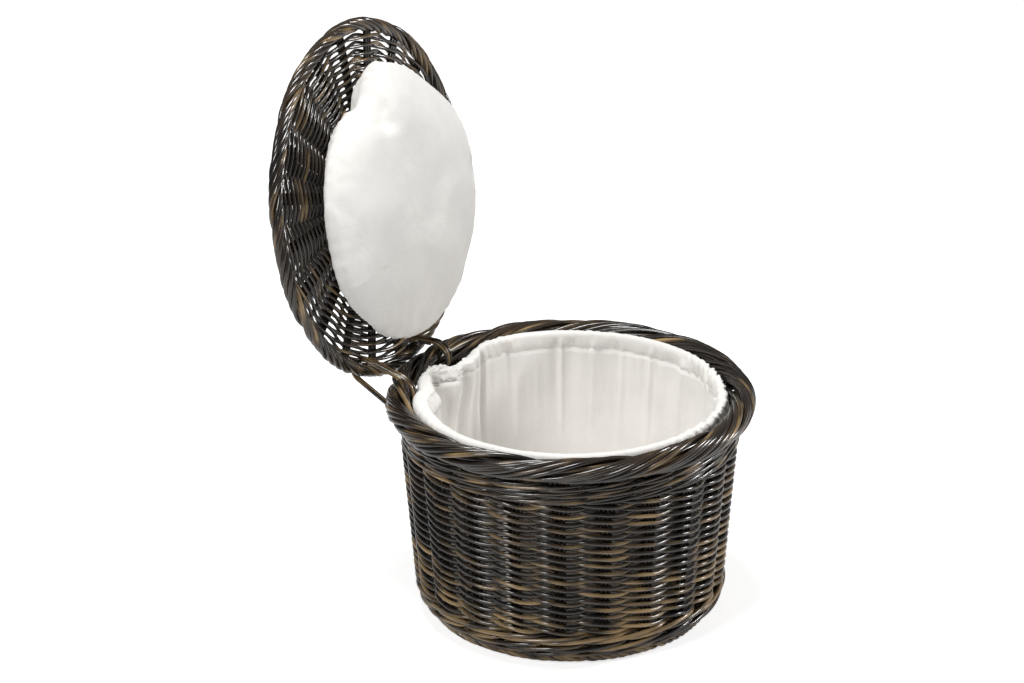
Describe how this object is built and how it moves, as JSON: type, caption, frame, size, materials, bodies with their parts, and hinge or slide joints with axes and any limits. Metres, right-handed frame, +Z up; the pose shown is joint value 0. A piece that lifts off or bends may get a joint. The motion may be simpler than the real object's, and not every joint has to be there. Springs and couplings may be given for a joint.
{
  "type": "lidded wicker basket",
  "caption": "Round dark wicker basket with a padded white cotton liner and a hinged woven lid that carries a white cushion.",
  "frame": {"origin": "centre of the foot, on the surface that the basket stands on", "axes": "+Z up, +Y towards the hinge at the back, +X to the right seen from the front; the lid is drawn open on its stop"},
  "size_m": [0.25, 0.3041, 0.3896],
  "materials": {
    "cane": "glossy",
    "tie_cane": "glossy",
    "cotton": "matte",
    "wadding": "matte",
    "elastic": "matte"
  },
  "bodies": {
    "basket": {"base_sticks_lower": "cane", "base_sticks_upper": "cane", "base_weave": "cane", "foot_border": "cane", "side_stakes": "cane", "tucked_ends": "cane", "lower_wale": "cane", "wall_weave": "cane", "upper_wale": "cane", "rim_border": "cane", "liner_cover": "cotton", "liner_wadding": "wadding", "liner_lining": "cotton", "liner_hem": "cotton", "liner_elastic": "elastic"},
    "lid": {"lid_stakes": "cane", "lid_sticks_inner": "cane", "lid_sticks_outer": "cane", "lid_weave": "cane", "lid_wale": "cane", "lid_border": "cane", "lid_pad_cover": "cotton", "lid_pad_wadding": "wadding", "lid_pad_elastic": "elastic", "hinge_tie_left": "tie_cane", "hinge_tie_right": "tie_cane"}
  },
  "joints": [
    {"name": "lid_hinge", "type": "hinge", "parent": "basket", "child": "lid", "pos_m": [0, 0.119, 0.15445], "axis": [1, 0, 0], "range_deg": [0, 100.7], "deforming": ["hinge_tie_left", "hinge_tie_right"]}
  ]
}
